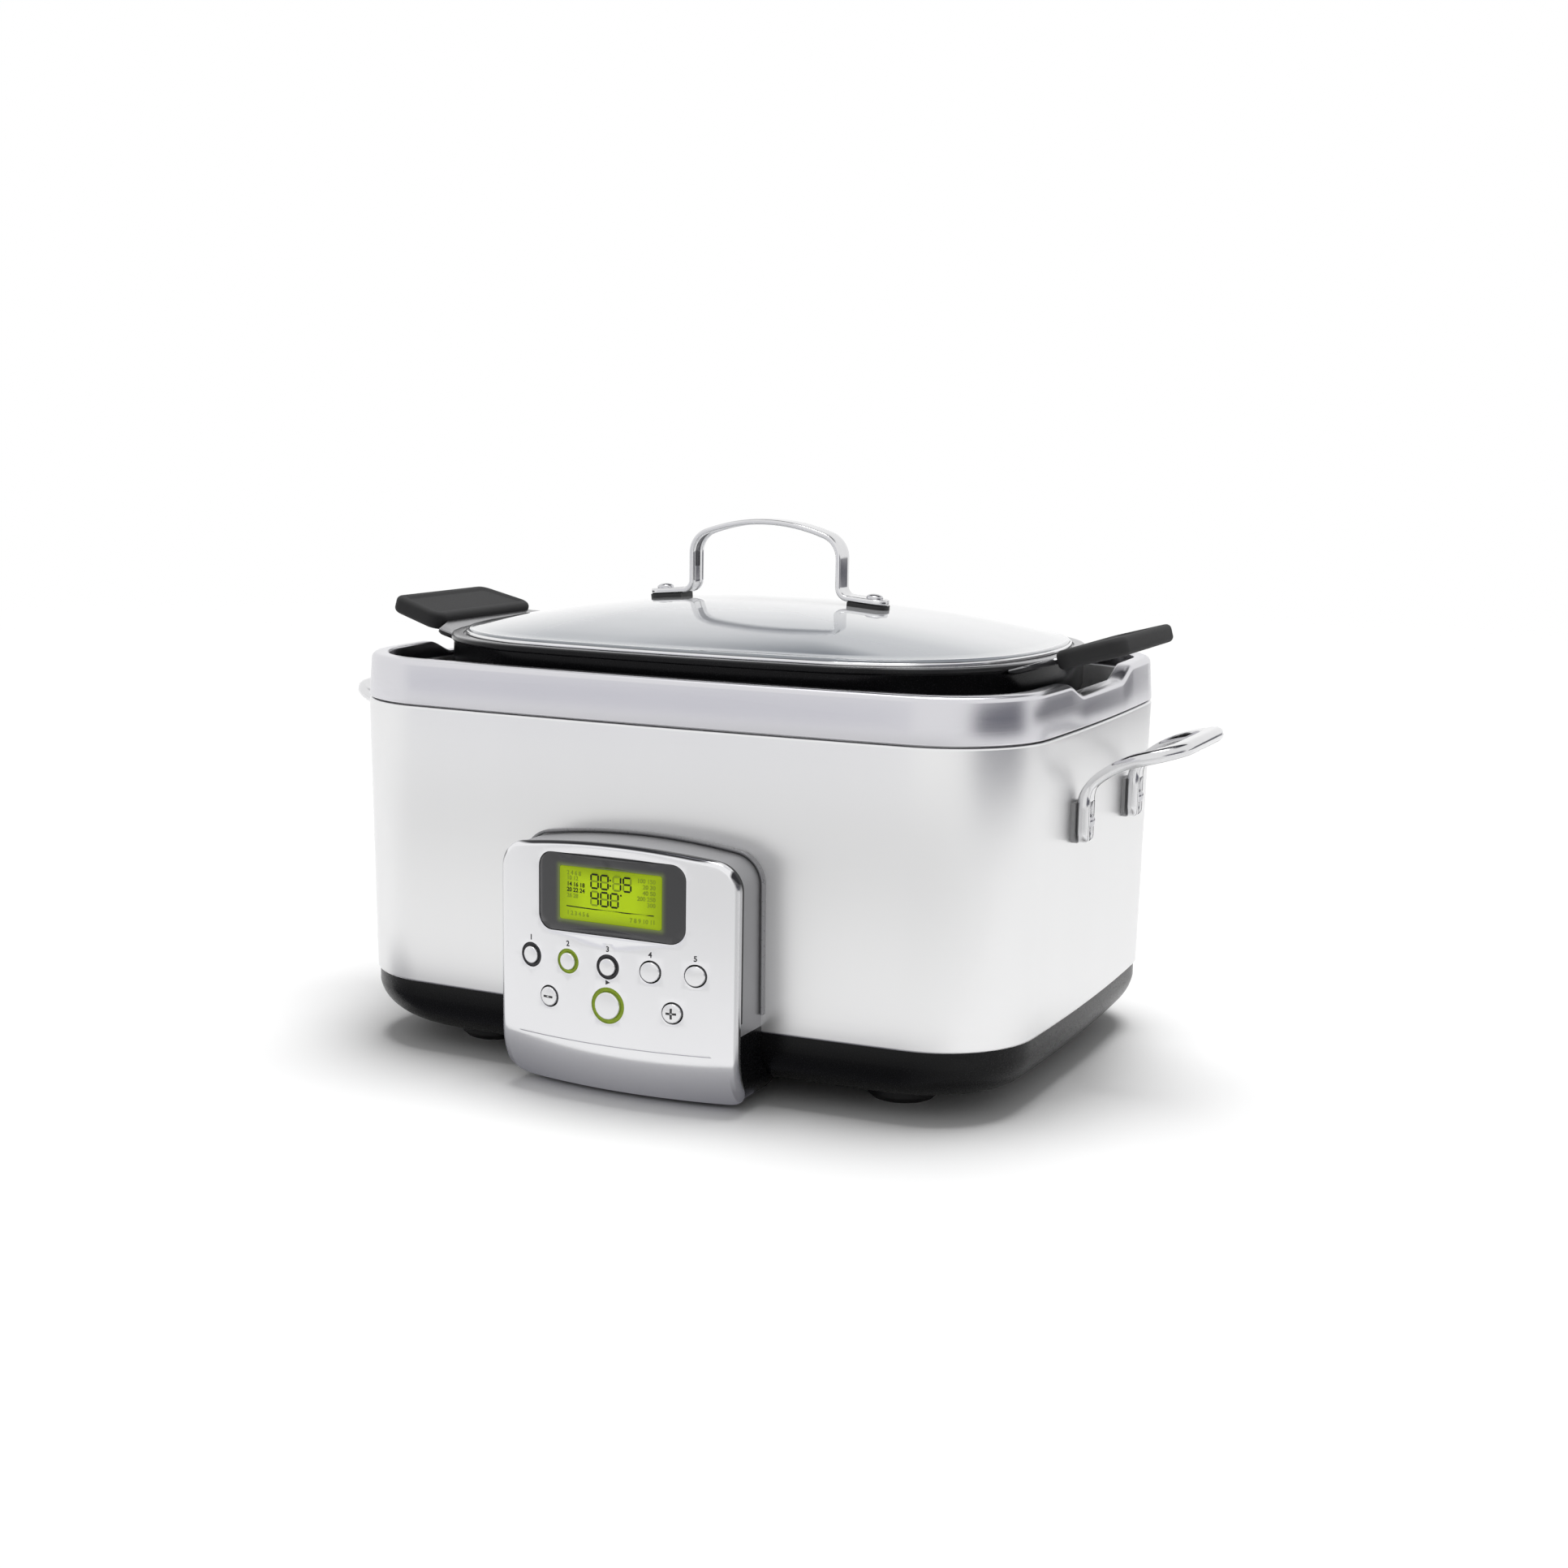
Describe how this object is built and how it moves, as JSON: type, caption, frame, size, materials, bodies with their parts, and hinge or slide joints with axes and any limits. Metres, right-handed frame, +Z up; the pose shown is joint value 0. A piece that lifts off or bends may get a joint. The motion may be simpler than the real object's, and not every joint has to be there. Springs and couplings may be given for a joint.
{
  "type": "slow cooker",
  "caption": "Rectangular slow cooker with a lift-out pot, domed glass lid, strap handles and a convex control panel with a display and push buttons.",
  "frame": {"origin": "on the floor under the middle of the whole box, control panel and cord gland included", "axes": "+Z up, -Y towards the user and the control panel, +X to the user's right"},
  "size_m": [0.5168, 0.3364, 0.295],
  "materials": {
    "body_steel": "stainless steel, brushed along its length",
    "collar_steel": "satin stainless steel, brushed along its length",
    "polished_steel": "polished stainless steel",
    "sheet_steel": "plain sheet steel",
    "cast_aluminium": "cast and pressed aluminium",
    "base_plastic": "black moulded plastic, glossy",
    "fascia_silver": "satin silver coated plastic",
    "housing_grey": "grey moulded plastic",
    "trim_dark": "grey moulded plastic",
    "bezel_black": "glossy black window frame",
    "lcd_glass": "backlit yellow-green display",
    "button_silver": "satin silver coated plastic caps",
    "ring_clear": "translucent light guides",
    "pot_coating": "black non-stick coating over cast aluminium",
    "grip_silicone": "charcoal silicone, matte",
    "gasket_rubber": "black rubber",
    "washer_pale": "pale silicone",
    "lid_glass": "clear tempered glass",
    "board_green": "circuit board with solder mask",
    "component_black": "moulded component cases"
  },
  "bodies": {
    "base": {"outer_shell": "body_steel", "top_collar": "collar_steel", "side_handle_right": "polished_steel", "side_handle_left": "polished_steel", "side_handle_rivets": "polished_steel", "handle_backing_plates": "sheet_steel", "sensor_bracket": "sheet_steel", "sensor_spring": "sheet_steel", "liner_standoffs": "sheet_steel", "fuse_clip": "sheet_steel", "thermal_fuse": "sheet_steel", "heating_element": "sheet_steel", "heater_plate": "cast_aluminium", "well_liner": "cast_aluminium", "heat_shield": "cast_aluminium", "base_tray": "base_plastic", "panel_lower_housing": "base_plastic", "panel_fascia": "fascia_silver", "panel_housing": "housing_grey", "panel_trim": "trim_dark", "lcd_holder": "trim_dark", "display_bezel": "bezel_black", "lcd_panel": "lcd_glass", "light_rings": "ring_clear", "side_handle_gaskets": "gasket_rubber", "cord_gland": "gasket_rubber", "feet": "gasket_rubber", "control_board": "board_green", "power_board": "board_green", "tact_switches": "component_black", "power_relays": "component_black"},
    "pot": {"cooking_pot": "pot_coating", "pot_grip_right": "grip_silicone", "pot_grip_left": "grip_silicone"},
    "lid": {"lid_glass": "lid_glass", "lid_rim": "polished_steel", "lid_handle": "polished_steel", "lid_gaskets": "gasket_rubber", "lid_rivets": "polished_steel", "lid_washers": "washer_pale"},
    "sensor": {"pot_sensor": "cast_aluminium"},
    "button_mode_1": {"button_mode_1": "button_silver"},
    "button_mode_2": {"button_mode_2": "button_silver"},
    "button_mode_3": {"button_mode_3": "button_silver"},
    "button_time": {"button_time": "button_silver"},
    "button_temp": {"button_temp": "button_silver"},
    "button_minus": {"button_minus": "button_silver"},
    "button_start": {"button_start": "button_silver"},
    "button_plus": {"button_plus": "button_silver"}
  },
  "joints": [
    {"name": "pot_lift", "type": "slide", "parent": "base", "child": "pot", "axis": [0, 0, 1], "range_m": [0, 0.2]},
    {"name": "lid_lift", "type": "slide", "parent": "pot", "child": "lid", "axis": [0, 0, 1], "range_m": [0, 0.12]},
    {"name": "sensor_press", "type": "slide", "parent": "base", "child": "sensor", "axis": [0, 0, -1], "range_m": [0, 0.003], "stiffness_N_per_m": 800, "springref_m": -0.001, "deforming": ["sensor_spring"]},
    {"name": "mode_1_press", "type": "slide", "parent": "base", "child": "button_mode_1", "axis": [0, 1, 0], "range_m": [0, 0.001], "stiffness_N_per_m": 1500},
    {"name": "mode_2_press", "type": "slide", "parent": "base", "child": "button_mode_2", "axis": [0, 1, 0], "range_m": [0, 0.001], "stiffness_N_per_m": 1500},
    {"name": "mode_3_press", "type": "slide", "parent": "base", "child": "button_mode_3", "axis": [0, 1, 0], "range_m": [0, 0.001], "stiffness_N_per_m": 1500},
    {"name": "time_press", "type": "slide", "parent": "base", "child": "button_time", "axis": [0, 1, 0], "range_m": [0, 0.001], "stiffness_N_per_m": 1500},
    {"name": "temp_press", "type": "slide", "parent": "base", "child": "button_temp", "axis": [0, 1, 0], "range_m": [0, 0.001], "stiffness_N_per_m": 1500},
    {"name": "minus_press", "type": "slide", "parent": "base", "child": "button_minus", "axis": [0, 1, 0], "range_m": [0, 0.001], "stiffness_N_per_m": 1500},
    {"name": "start_press", "type": "slide", "parent": "base", "child": "button_start", "axis": [0, 1, 0], "range_m": [0, 0.001], "stiffness_N_per_m": 1500},
    {"name": "plus_press", "type": "slide", "parent": "base", "child": "button_plus", "axis": [0, 1, 0], "range_m": [0, 0.001], "stiffness_N_per_m": 1500}
  ]
}
